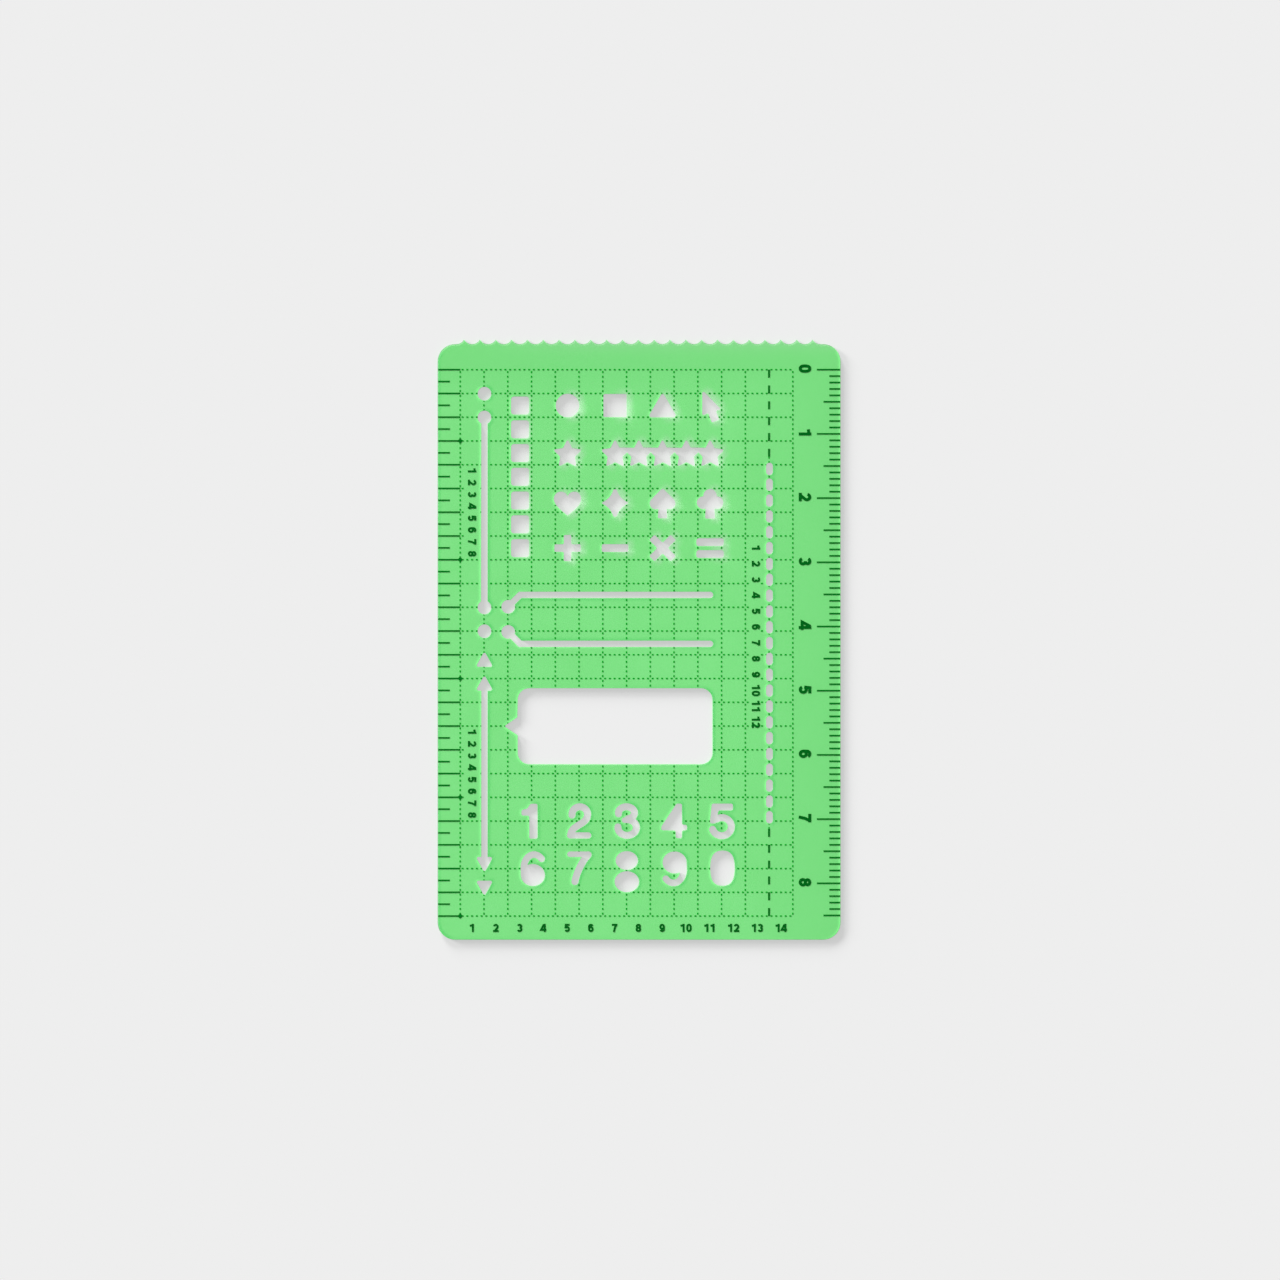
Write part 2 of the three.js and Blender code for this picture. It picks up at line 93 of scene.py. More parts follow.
NUMBER_CLEARANCE = 0.2 * MM

# Cut edges
EDGE_ROUNDING = 0.05 * MM
HOLE_ROUNDING = 0.018 * MM
EDGE_STEPS = 3
SHORTEST_EDGE = 0.08 * MM
SHARPEST_EDGE = 0.5
CLEAR_COLUMNS = (4, 12)
CLEAR_HEIGHT = 0.3 * MM
CLEAR_RIGHT = 0.35
CLEAR_DOWN = 0.45
# Painted shade: the rounding along the outer edges that face the lamps takes the walls' dark colour
TOWARDS_LAMPS = (-0.7, 0.7)
PAINTED_SHADE_FACING = 0.3

# Painted shade and painted light on the film along its edges, towards its sides and under its scalloped
# edge, and the tilt of its rims
RIM_SAMPLES = 8
RIM_WIDTH = 0.8 * MM
RIM_TILT = 0.52
RIM_DEPTH = 3.2
RIM_FADE = 0.5
# Painted shade: the deeper green along the cut edges on the left of the film, outside the block of symbols
RIM_PAINTED_SHADE = (0.115, 0.815, 0.175)
# Painted light: the pale glow along the cut edges in the block of symbols, widest where the walls let light
# in
PAINTED_GLOW_WIDTH = 1.5 * MM
PAINTED_GLOW_DEPTH = 8.0
PAINTED_GLOW_COLOUR = (0.42, 0.94, 0.45)
# Painted shade: the film darker towards its right and top sides
DIM_COLUMN = 11.5
DIM_ROW = 1.3
DIM_TOP = 0.8
# Painted glare: the film paler under its scalloped edge
GLARE_REACH = 3.3 * MM
GLARE_FADE = 2.0
GLARE_COLUMNS = (-0.2, 5.0)
PAINTED_GLARE_COLOUR = (0.315, 0.865, 0.345)
CALM_REACH = (2.2 * MM, 1.6 * MM)
SYMBOL_COLUMNS = (2, 12)
SYMBOL_ROWS = (0, 8.5)

# Finish of the film, each share of solid colour with the tint of what shows through
FILM_DARK = (0.227, 0.936, 0.257)
FILM_LIGHT = (0.247, 0.966, 0.280)
# The film's colour under painted shade
FILM_PAINTED_SHADE = (0.209, 0.888, 0.238)
WALL_DARK = (0.055, 0.26, 0.07)
WALL_LIGHT = (0.065, 0.29, 0.08)
FACE_SOLID = 0.75
BACK_SOLID = 0.06
FACE_TINT = (1.0, 1.0, 1.0)
CLEAR_SOLID = 0.04
CLEAR_TINT = (0.97, 1.0, 0.97)
EDGE_SOLID = 0.85
EDGE_TINT = (0.8, 1.0, 0.8)
FILM_IOR = 1.5
FILM_ROUGHNESS = (0.36, 0.46)
CLOUD_SCALE = 130
CLOUD_DETAIL = 4
SHEEN_SCALE = 900
GRAIN_SCALE = 5200
GRAIN_DETAIL = 2
GRAIN_STRENGTH = 0.2
GRAIN_HEIGHT = 0.004 * MM

# Finish of the ink, each ink with its dark and its light colour
LINE_INK = ((0.0, 0.145, 0.009), (0.0, 0.185, 0.014))
DOT_INK = ((0.0, 0.325, 0.016), (0.0, 0.380, 0.024))
NUMBER_INK = ((0.0, 0.105, 0.007), (0.0, 0.140, 0.011))
INK_ROUGHNESS = (0.5, 0.64)
INK_GLOSS = 0.02
INK_SCALE = 2600
INK_SHEEN_SCALE = 4000
INK_STRENGTH = 0.25
INK_HEIGHT = 0.01 * MM

# The middle part of a noise pattern, over which colours and numbers run
PATTERN_LOW = 0.3
PATTERN_HIGH = 0.7

# Stage
FLOOR_GAP = 0.05 * MM
FLOOR_SIZE = 6.0
VIEW_WIDTH = 199.36 * MM
VIEW_CENTRE = (0.137 * MM, -0.047 * MM)
LENS = 200.0
SENSOR = 36.0
# Each lamp: its turn from the left towards the top, its elevation, its breadth and its share of the light
SUNS = (("left_lamp", 27.0, 15.5, 17.2, 0.32), ("top_lamp", 66.0, 15.0, 17.7, 0.36))
SKY_SHARE = 0.32
BACKDROP = 0.855
FLOOR_GLOW = 0.491
FLOOR_COLOUR = 0.364
PAPER_COLOUR = 0.95
BARE_DEPTH = 0.5

# How finely points and heights are told apart
POINTS_TO_METRE = 1e7
FLATNESS = 1e-6
TINY = 1e-9

# Sockets of a Mix node for colours, and the kind of triangles that a triangulation keeps
MIX_SHARE = 0
MIX_FIRST = 6
MIX_SECOND = 7
MIX_RESULT = 2
INSIDE_OUTLINES = 1

sheet_low, sheet_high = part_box(SHEET)
TOP = sheet_high.z


def row_y(row):
    """The height on the sheet of a line of the grid, counted from the top."""
    return first_row + (last_row - first_row) * row / ROWS


def column_x(column):
    """The place across the sheet of a line of the grid, counted from the left."""
    return first_column + cell * column


def middle(node):
    """The middle of a CAD node's box."""
    low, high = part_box(node)
    return (low + high) / 2


first_row = middle("row_tick_1").y
last_row = middle(f"row_tick_{ROWS - 1}").y
cell = (first_row - last_row) / (ROWS - 2)
first_row += cell
last_row -= cell
first_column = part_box("row_tick_1")[1].x
ruler_zero = middle(f"ruler_tick_{LONG_TICK_STEP}mm").y + LONG_TICK_STEP * MM


# Outlines of the sheet

def sheet_outlines():
    """The closed outlines of the sheet's top face as arrays of points, with the plastic on their left."""
    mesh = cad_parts[SHEET].data
    sides = []
    points = {}

    def key(index):
        co = mesh.vertices[index].co
        name = (round(co.x * POINTS_TO_METRE), round(co.y * POINTS_TO_METRE))
        points[name] = (co.x, co.y)
        return name

    for face in mesh.polygons:
        corners = list(face.vertices)
        if any(mesh.vertices[i].co.z < TOP - FLATNESS for i in corners):
            continue
        names = [key(i) for i in corners]
        sides += zip(names, names[1:] + names[:1])
    known = set(sides)
    following = {a: b for a, b in sides if (b, a) not in known}
    outlines = []
    while following:
        start, here = following.popitem()
        loop = [start]
        while here != start:
            loop.append(here)
            here = following.pop(here)
        outline = np.array([points[name] for name in loop])
        steps = np.linalg.norm(outline - np.roll(outline, 1, axis=0), axis=1)
        outlines.append(outline[steps > SHORTEST_EDGE])
    return sorted(outlines, key=len, reverse=True)


def moved_in(outline, distance):
    """An outline moved into the plastic on its left by a distance."""
    before = outline - np.roll(outline, 1, axis=0)
    after = np.roll(outline, -1, axis=0) - outline
    before /= np.linalg.norm(before, axis=1)[:, None]
    after /= np.linalg.norm(after, axis=1)[:, None]
    normal = np.stack([-(before + after)[:, 1], (before + after)[:, 0]], axis=1)
    normal /= np.maximum(np.linalg.norm(normal, axis=1), TINY)[:, None]
    side = np.stack([-after[:, 1], after[:, 0]], axis=1)
    reach = np.maximum((normal * side).sum(axis=1), SHARPEST_EDGE)
    return outline + normal * (distance / reach)[:, None]


outlines = sheet_outlines()
outline_start = np.concatenate(outlines)
outline_end = np.concatenate([np.roll(o, -1, axis=0) for o in outlines])


def symbol_block(columns):
    """The left, right, lower and upper sides of the block of symbols between two columns."""
    left, right = (column_x(column) for column in columns)
    upper, lower = (row_y(row) for row in SYMBOL_ROWS)
    return left, right, lower, upper


def on_plastic(points):
    """For each point, whether it lies on plastic and not in a cut-out or beside the sheet."""
    inside = np.zeros(len(points), bool)
    for index, (x, y) in enumerate(points):
        spans = (outline_start[:, 1] > y) != (outline_end[:, 1] > y)
        a = outline_start[spans]
        b = outline_end[spans]
        crossing = a[:, 0] + (y - a[:, 1]) * (b[:, 0] - a[:, 0]) / (b[:, 1] - a[:, 1])
        inside[index] = np.count_nonzero(crossing > x) % 2 == 1
    return inside


# Mesh helpers

def finished(name, bm, materials):
    """A piece from a bmesh that rides on the sheet's body and takes its finish from a material slot."""
    mesh = bpy.data.meshes.new(name)
    bm.to_mesh(mesh)
    bm.free()
    for material in materials:
        mesh.materials.append(material)
    piece = bpy.data.objects.new(name, mesh)
    bpy.context.scene.collection.objects.link(piece)
    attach(piece, "root")
    return piece


def prism(bm, outline, low, high):
    """A flat solid between two heights with an outline that runs counter-clockwise."""
    bottom = [bm.verts.new((x, y, low)) for x, y in outline]
    top = [bm.verts.new((x, y, high)) for x, y in outline]
    count = len(outline)
    bm.faces.new(top)
    bm.faces.new(bottom[::-1])
    for i in range(count):
        j = (i + 1) % count
        bm.faces.new((bottom[i], bottom[j], top[j], top[i]))


def ribbon(bm, path, width, low, high, closed=False):
    """A stroke of even width along a path."""
    points = np.array(path, float)
    ahead = np.roll(points, -1, axis=0) - points
    behind = points - np.roll(points, 1, axis=0)
    if not closed:
        ahead[-1] = behind[-1]
        behind[0] = ahead[0]
    ahead /= np.linalg.norm(ahead, axis=1)[:, None]
    behind /= np.linalg.norm(behind, axis=1)[:, None]
    normal = np.stack([-(ahead + behind)[:, 1], (ahead + behind)[:, 0]], axis=1)
    normal /= np.linalg.norm(normal, axis=1)[:, None]
    side = np.stack([-ahead[:, 1], ahead[:, 0]], axis=1)
    reach = np.maximum((normal * side).sum(axis=1), SHARPEST_STROKE)
    half = normal * (width / 2 / reach)[:, None]
    rails = []
    for edge in (points + half, points - half):
        for z in (low, high):
            rails.append([bm.verts.new((x, y, z)) for x, y in edge])
    left_low, left_high, right_low, right_high = rails
    count = len(points)
    for i in range(count if closed else count - 1):
        j = (i + 1) % count
        bm.faces.new((left_high[i], right_high[i], right_high[j], left_high[j]))
        bm.faces.new((left_low[i], left_low[j], right_low[j], right_low[i]))
        bm.faces.new((left_low[i], left_high[i], left_high[j], left_low[j]))
        bm.faces.new((right_low[i], right_low[j], right_high[j], right_high[i]))
    if not closed:
        bm.faces.new((left_low[0], right_low[0], right_high[0], left_high[0]))
        bm.faces.new((left_low[-1], left_high[-1], right_high[-1], right_low[-1]))


# Numbers, drawn as strokes in a box one unit high, with angles in degrees

NUMBER_WIDTH = 0.67
NUMBER_SPACE = 0.08
NUMBER_STROKE = 0.24
STROKE_STEP = 0.002 * MM
SHARPEST_STROKE = 0.45


def arc(x, y, across, up, start, stop, steps, fullness=1.0):
    """Points on part of an ellipse. A fullness under 1 squares its shoulders."""
    points = []
    for i in range(steps + 1):
        angle = math.radians(start + (stop - start) * i / steps)
        right = math.copysign(abs(math.cos(angle)) ** fullness, math.cos(angle))
        above = math.copysign(abs(math.sin(angle)) ** fullness, math.sin(angle))
        points.append((x + across * right, y + up * above))
    return points


def turned_round(path):
    """A path of a digit turned by half a turn."""
    return [(NUMBER_WIDTH - x, 1 - y) for x, y in path]


def digit_strokes():
    """The centre lines of the ten digits, each a list of (points, closed)."""
    left = NUMBER_STROKE / 2
    right = NUMBER_WIDTH - NUMBER_STROKE / 2
    low = NUMBER_STROKE / 2
    high = 1 - NUMBER_STROKE / 2
    centre = NUMBER_WIDTH / 2
    half = (right - left) / 2
    waist = 0.53
    upper = (high - waist) / 2
    lower = (waist - low) / 2
    narrow = half * 0.93
    bowl = (0.6 - low) / 2
    shoulder = 0.66
    stem = right - 0.12
    post = stem + 0.07
    flag = 0.06
    bar = 0.27
    hook = 0.23
    square_shoulders = 0.82
    ring = arc(centre, low + bowl, half, bowl, 0, 360, 28)[:-1]
    back = arc(centre, shoulder, half, high - shoulder, 22, 180, 14) + [(left, low + bowl)]
    crook = arc(centre, high - hook, half, hook, 168, -32, 16) + [(left + 0.07, low)]
    return {
        "0": [(arc(centre, 0.5, half, high - 0.5, 0, 360, 32, square_shoulders)[:-1], True)],
        "1": [
            ([(stem, 0), (stem, 1)], False),
            ([(left - flag, high - 2 * flag), (stem, high - flag)], False),
        ],
        "2": [(crook, False), ([(0, low), (NUMBER_WIDTH, low)], False)],
        "3": [
            (arc(centre, waist + upper, narrow, upper, 160, -90, 16), False),
            (arc(centre, low + lower, half, lower, 90, -160, 16), False),
        ],
        "4": [
            ([(post, 0), (post, 1)], False),
            ([(stem - 0.03, high + 0.04), (left - 0.06, bar), (NUMBER_WIDTH + 0.02, bar)], False),
        ],
        "5": [
            ([(right + left - 0.04, high), (left + 0.06, high), (left + 0.01, 0.44)], False),
            (arc(centre, low + bowl, half, bowl, 148, -155, 20), False),
        ],
        "6": [(ring, True), (back, False)],
        "7": [
            ([(0, high), (NUMBER_WIDTH, high)], False),
            ([(right, high), (centre + 0.02, 0.5), (centre - 0.09, 0)], False),
        ],
        "8": [
            (arc(centre, waist + upper, narrow, upper, 0, 360, 26)[:-1], True),
            (arc(centre, low + lower, half, lower, 0, 360, 28)[:-1], True),
        ],
        "9": [(turned_round(ring), True), (turned_round(back), False)],
    }


DIGITS = digit_strokes()


def print_number(bm, number, x, y, height, turned):
    """Prints a number round a point. Turned, its top faces the right edge of the sheet."""
    text = str(number)
    step = NUMBER_WIDTH + NUMBER_SPACE
    start = -(step * len(text) - NUMBER_SPACE) / 2
    for place, digit in enumerate(text):
        for layer, (path, closed) in enumerate(DIGITS[digit]):
            points = []
            for across, up in path:
                right = (start + step * place + across) * height
                above = (up - 0.5) * height
                points.append((x + above, y - right) if turned else (x + right, y + above))
            top = TOP + INK_THICKNESS + layer * STROKE_STEP
            ribbon(bm, points, NUMBER_STROKE * height, TOP, top, closed)


# Materials

def material(name):
    """A new node material, its node tree and its output node."""
    made = bpy.data.materials.new(name)
    made.use_nodes = True
    tree = made.node_tree
    tree.nodes.clear()
    output = tree.nodes.new("ShaderNodeOutputMaterial")
    return made, tree, output


def own_space(tree):
    """The place of a point in the object's own space."""
    return tree.nodes.new("ShaderNodeTexCoord").outputs["Object"]


def noise(tree, scale, detail=3):
    """A noise pattern in the object's own space, with its scale in repeats to the metre."""
    pattern = tree.nodes.new("ShaderNodeTexNoise")
    pattern.inputs["Scale"].default_value = scale
    pattern.inputs["Detail"].default_value = detail
    tree.links.new(own_space(tree), pattern.inputs["Vector"])
    return pattern.outputs["Fac"]


def ramp(tree, value, first, second):
    """A colour that runs from first to second over the middle part of a pattern."""
    node = tree.nodes.new("ShaderNodeValToRGB")
    node.color_ramp.elements[0].position = PATTERN_LOW
    node.color_ramp.elements[1].position = PATTERN_HIGH
    node.color_ramp.elements[0].color = (*first, 1)
    node.color_ramp.elements[1].color = (*second, 1)
    tree.links.new(value, node.inputs["Fac"])
    return node.outputs["Color"]


def spread(tree, value, low, high, start=PATTERN_LOW, stop=PATTERN_HIGH):
    """A number that runs from low to high while a value runs from start to stop."""
    node = tree.nodes.new("ShaderNodeMapRange")
    node.inputs["From Min"].default_value = start
    node.inputs["From Max"].default_value = stop
    node.inputs["To Min"].default_value = low
    node.inputs["To Max"].default_value = high
    tree.links.new(value, node.inputs["Value"])
    return node.outputs["Result"]


def bumped(tree, value, strength, distance):
    """A surface normal that follows a pattern's heights."""
    node = tree.nodes.new("ShaderNodeBump")
    node.inputs["Strength"].default_value = strength
    node.inputs["Distance"].default_value = distance
    tree.links.new(value, node.inputs["Height"])
    return node.outputs["Normal"]


def worked(tree, operation, first, second):
    """The result of a sum of two outputs, or of an output and a plain number."""
    node = tree.nodes.new("ShaderNodeMath")
    node.operation = operation
    tree.links.new(first, node.inputs[0])
    if isinstance(second, float):
        node.inputs[1].default_value = second
    else:
        tree.links.new(second, node.inputs[1])
    return node.outputs["Value"]


def shows_background(path):
    """1 for a ray that shows the background: one from the camera, from a gloss or through glass."""
    tree = path.id_data
    direct = worked(tree, "MAXIMUM", path.outputs["Is Camera Ray"], path.outputs["Is Glossy Ray"])
    return worked(tree, "MAXIMUM", direct, path.outputs["Is Transmission Ray"])


def split(tree, vector):
    """The three parts of a vector."""
    node = tree.nodes.new("ShaderNodeSeparateXYZ")
    tree.links.new(vector, node.inputs["Vector"])
    return node.outputs


def within(tree, value, low, high):
    """1 where a value lies between two numbers, and 0 elsewhere."""
    node = tree.nodes.new("ShaderNodeMath")
    node.operation = "COMPARE"
    tree.links.new(value, node.inputs[0])
    node.inputs[1].default_value = (low + high) / 2
    node.inputs[2].default_value = (high - low) / 2
    return node.outputs["Value"]


def near_symbols(tree, columns):
    """1 between two columns of the block of symbols, and 0 elsewhere on the sheet."""
    place = split(tree, own_space(tree))
    left, right, lower, upper = symbol_block(columns)
    across = within(tree, place["X"], left, right)
    return worked(tree, "MULTIPLY", across, within(tree, place["Y"], lower, upper))


def far_sides(tree):
    """A share of painted shade that rises towards the right edge and the top edge of the sheet."""
    place = split(tree, own_space(tree))
    right = spread(tree, place["X"], 0.0, 1.0, column_x(DIM_COLUMN), sheet_high.x)
    top = spread(tree, place["Y"], 0.0, DIM_TOP, row_y(DIM_ROW), row_y(0))
    return worked(tree, "MAXIMUM", right, top)


def top_haze(tree):
    """A share of painted glare that rises towards the scalloped edge, and from the left of the sheet to its
    middle.
    """
    place = split(tree, own_space(tree))
    up = spread(tree, place["Y"], 0.0, 1.0, sheet_high.y - GLARE_REACH, sheet_high.y)
    left, right = (column_x(column) for column in GLARE_COLUMNS)
    across = spread(tree, place["X"], 0.0, 1.0, left, right)
    return worked(tree, "MULTIPLY", worked(tree, "POWER", up, GLARE_FADE), across)


def below_scallops(tree):
    """1 on the sheet below its scalloped edge, and 0 along that edge."""
    place = split(tree, own_space(tree))
    low, high = (sheet_high.y - reach for reach in CALM_REACH)
    return spread(tree, place["Y"], 1.0, 0.0, low, high)


def mixed(tree, share, first, second):
    """A colour that gives way to a second one by a share."""
    node = tree.nodes.new("ShaderNodeMix")
    node.data_type = "RGBA"
    tree.links.new(share, node.inputs[MIX_SHARE])
    tree.links.new(first, node.inputs[MIX_FIRST])
    node.inputs[MIX_SECOND].default_value = (*second, 1)
    return node.outputs[MIX_RESULT]


def edge_facing(tree, width):
    """The parts of a normal that turns with the cut edges within a width."""
    edge = tree.nodes.new("ShaderNodeBevel")
    edge.samples = RIM_SAMPLES
    edge.inputs["Radius"].default_value = width
    return split(tree, edge.outputs["Normal"])


def raised_rim(tree, turn, upright):
    """A surface normal that leans back from the edges on the right, which the cutter has pushed up."""
    lean = tree.nodes.new("ShaderNodeCombineXYZ")
    rise = worked(tree, "MULTIPLY", worked(tree, "MAXIMUM", turn, 0.0), -RIM_TILT)
    tree.links.new(rise, lean.inputs["X"])
    tree.links.new(upright, lean.inputs["Z"])
    unit = tree.nodes.new("ShaderNodeVectorMath")
    unit.operation = "NORMALIZE"
    tree.links.new(lean.outputs["Vector"], unit.inputs[0])
    return unit.outputs["Vector"]


def near_edge(tree, turn, depth):
    """A share that rises towards the cut edges on the left of the film. It sets where painted shade and
    painted light lie along those edges.
    """
    turned = worked(tree, "MULTIPLY", turn, -depth)
    turned.node.use_clamp = True
    return worked(tree, "POWER", turned, RIM_FADE)


def rim_colour(tree, turn, colour):
    """The film's colour with painted shade, a deeper green, along the edges on its left, but with painted
    light, a pale green, along those edges in the block of symbols.

    The painted light spreads widely where the walls of the symbols let light in.
    """
    close = near_edge(tree, turn, RIM_DEPTH)
    inner = worked(tree, "MULTIPLY", close, near_symbols(tree, SYMBOL_COLUMNS))
    painted_shade_share = worked(tree, "SUBTRACT", close, inner)
    wide = near_edge(tree, edge_facing(tree, PAINTED_GLOW_WIDTH)["X"], PAINTED_GLOW_DEPTH)
    glow = worked(tree, "MULTIPLY", wide, near_symbols(tree, CLEAR_COLUMNS))
    pale = worked(tree, "MAXIMUM", inner, glow)
    return mixed(tree, pale, mixed(tree, painted_shade_share, colour, RIM_PAINTED_SHADE), PAINTED_GLOW_COLOUR)


def film_material(name, dark, light, solid, tint, blocks, rim=False):
    """Tinted plastic. A share of it is solid colour, and the rest shows what lies under it."""
    made, tree, output = material(name)
    shader = tree.nodes.new("ShaderNodeBsdfPrincipled")
    colour = ramp(tree, noise(tree, CLOUD_SCALE, CLOUD_DETAIL), dark, light)
    tree.links.new(spread(tree, noise(tree, SHEEN_SCALE), *FILM_ROUGHNESS), shader.inputs["Roughness"])
    grain = bumped(tree, noise(tree, GRAIN_SCALE, GRAIN_DETAIL), GRAIN_STRENGTH, GRAIN_HEIGHT)
    if rim:
        facing = edge_facing(tree, RIM_WIDTH)
        turn = worked(tree, "MULTIPLY", facing["X"], below_scallops(tree))
        # Painted shade darkens the film towards its right and top sides
        colour = mixed(tree, far_sides(tree), colour, FILM_PAINTED_SHADE)
        # Painted glare makes the film paler under its scalloped edge
        colour = mixed(tree, top_haze(tree), colour, PAINTED_GLARE_COLOUR)
        # Painted shade and painted light along the cut edges
        colour = rim_colour(tree, turn, colour)
        tree.links.new(raised_rim(tree, turn, facing["Z"]), grain.node.inputs["Normal"])
    tree.links.new(colour, shader.inputs["Base Color"])
    tree.links.new(grain, shader.inputs["Normal"])
    shader.inputs["IOR"].default_value = FILM_IOR
    clear = tree.nodes.new("ShaderNodeBsdfTransparent")
    clear.inputs["Color"].default_value = (*tint, 1)
    mix = tree.nodes.new("ShaderNodeMixShader")
    mix.inputs["Fac"].default_value = solid
    tree.links.new(clear.outputs["BSDF"], mix.inputs[1])
    tree.links.new(shader.outputs["BSDF"], mix.inputs[2])
    tree.links.new(mix.outputs["Shader"], output.inputs["Surface"])
    made.use_transparent_shadow = not blocks
    return made


def ink_material(name, dark, light):
    """Dark green printing ink with a little unevenness."""
    made, tree, output = material(name)
    shader = tree.nodes.new("ShaderNodeBsdfPrincipled")
    uneven = noise(tree, INK_SCALE)
    tree.links.new(ramp(tree, uneven, dark, light), shader.inputs["Base Color"])
    tree.links.new(spread(tree, noise(tree, INK_SHEEN_SCALE), *INK_ROUGHNESS), shader.inputs["Roughness"])
    tree.links.new(bumped(tree, uneven, INK_STRENGTH, INK_HEIGHT), shader.inputs["Normal"])
    shader.inputs["Specular IOR Level"].default_value = INK_GLOSS
    tree.links.new(shader.outputs["BSDF"], output.inputs["Surface"])
    return made


face_film = film_material("tinted_face", FILM_DARK, FILM_LIGHT, FACE_SOLID, FACE_TINT, True, True)
back_film = film_material("tinted_back", FILM_DARK, FILM_LIGHT, BACK_SOLID, FACE_TINT, False)
clear_edge = film_material("clear_edge", FILM_DARK, FILM_LIGHT, CLEAR_SOLID, CLEAR_TINT, False)
cut_edge = film_material("cut_edge", FILM_DARK, FILM_LIGHT, EDGE_SOLID, EDGE_TINT, True)
cut_wall = film_material("cut_wall", WALL_DARK, WALL_LIGHT, EDGE_SOLID, EDGE_TINT, True)
sheet_materials = (face_film, back_film, cut_wall, cut_edge, clear_edge)
FACE, BACK, WALL, ROUNDING, CLEAR = range(len(sheet_materials))
line_ink = ink_material("printed_lines", *LINE_INK)
dot_ink = ink_material("printed_dots", *DOT_INK)
number_ink = ink_material("printed_numbers", *NUMBER_INK)


# The sheet

def wall_levels(rounding):
    """The rings of a cut wall from the top face to the underside, each with its inset and its height."""
    rings = []
    for step in range(EDGE_STEPS + 1):
        turn = math.radians(90 * step / EDGE_STEPS)
        rings.append((rounding * (1 - math.sin(turn)), rounding * (1 - math.cos(turn))))
    levels = [(inset, TOP - drop) for inset, drop in rings]
    levels.append((0, sheet_low.z + CLEAR_HEIGHT))
    levels += [(inset, sheet_low.z + drop) for inset, drop in reversed(rings)]
    return levels


def outward(outline):
    """For each side of an outline, the direction out of the plastic."""
    sides = np.roll(outline, -1, axis=0) - outline
    sides /= np.linalg.norm(sides, axis=1)[:, None]
    return np.stack([sides[:, 1], -sides[:, 0]], axis=1)


def lets_light_in(outline):
    """For each side of an outline, whether its wall is on the right of a symbol and lets light in."""
    left, right, lower, upper = symbol_block(CLEAR_COLUMNS)
    x, y = outline.mean(axis=0)
    facing = outward(outline)
    sides = (-facing[:, 0] > CLEAR_RIGHT) & (facing[:, 1] < CLEAR_DOWN)
    return sides & (left < x < right) & (lower < y < upper)


def rounded_sheet():
    """The plastic sheet: flat faces, straight cut walls and a small rounding along each edge. Along the
    outer edges that face the lamps the rounding takes the walls' dark colour, as painted shade.
    """
    bm = bmesh.new()
    tops = []
    bottoms = []
    for number, outline in enumerate(outlines):
        outer = number == 0
        clear = lets_light_in(outline) & (not outer)
        # Painted shade: outer sides that face the lamps get the dark wall colour on their rounding
        dark = (outward(outline) @ TOWARDS_LAMPS > PAINTED_SHADE_FACING) & outer
        loops = []
        for inset, z in wall_levels(EDGE_ROUNDING if outer else HOLE_ROUNDING):
            ring = moved_in(outline, inset) if inset else outline
            loops.append([bm.verts.new((x, y, z)) for x, y in ring])
        tops.append(loops[0])
        bottoms.append(loops[-1])
        count = len(outline)
        for level, (upper, lower) in enumerate(zip(loops, loops[1:])):
            for i in range(count):
                j = (i + 1) % count
                face = bm.faces.new((upper[i], lower[i], lower[j], upper[j]))
                face.material_index = WALL
                if clear[i] and level > EDGE_STEPS:
                    face.material_index = CLEAR
                elif level < EDGE_STEPS and not dark[i]:
                    face.material_index = ROUNDING
                face.smooth = True
    flat = [v for loop in tops for v in loop]
    under = [v for loop in bottoms for v in loop]
    edges = []
    start = 0
    for loop in tops:
        count = len(loop)
        edges += [(start + i, start + (i + 1) % count) for i in range(count)]
        start += count
    corners = [Vector((v.co.x, v.co.y)) for v in flat]
    points, _, triangles, sources, _, _ = delaunay_2d_cdt(corners, edges, [], INSIDE_OUTLINES, TINY)
    origin = [names[0] for names in sources]
    middles = [sum((points[i] for i in triangle), Vector((0, 0))) / 3 for triangle in triangles]
    for triangle, kept in zip(triangles, on_plastic(middles)):
        if not kept:
            continue
        a, b, c = (origin[i] for i in triangle)
        bm.faces.new((flat[a], flat[b], flat[c])).material_index = FACE
        bm.faces.new((under[c], under[b], under[a])).material_index = BACK
    return finished("sheet_film", bm, sheet_materials)


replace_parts(rounded_sheet(), SHEET)


# The print

def ruler_numbers():
    """The centimetres beside the ruler."""
    bm = bmesh.new()
    x = sheet_high.x - RULER_NUMBER_INSET
    for centimetre in range(CENTIMETRES + 1):
        y = ruler_zero - centimetre * CM + RULER_NUMBER_SHIFT
        print_number(bm, centimetre, x, y, RULER_NUMBER_HEIGHT, True)
    finished("ruler_numbers", bm, (number_ink,))


label_strips = []


def print_count(bm, column, first, count, step):
    """Counts down a column of the grid from a row, in steps of rows, and keeps the dots clear of it."""
    x = column_x(column)
    places = [row_y(first + place * step) for place in range(count)]
    for place, y in enumerate(places):
        print_number(bm, place + 1, x, y, SIDE_NUMBER_HEIGHT, True)
    reach = SIDE_NUMBER_HEIGHT / 2 + NUMBER_CLEARANCE
    label_strips.append((x - reach, x + reach, places[-1], places[0]))


def side_numbers():
    """Plain counts beside the two line slots at the left and the broken line at the right."""
    bm = bmesh.new()
    for first in SIDE_NUMBER_ROWS:
        print_count(bm, SIDE_NUMBER_COLUMN, first, SIDE_NUMBER_COUNT, SIDE_NUMBER_STEP)
    print_count(bm, SLOT_NUMBER_COLUMN, SLOT_NUMBER_ROW, SLOT_NUMBER_COUNT, SLOT_STEP)
    finished("side_numbers", bm, (number_ink,))


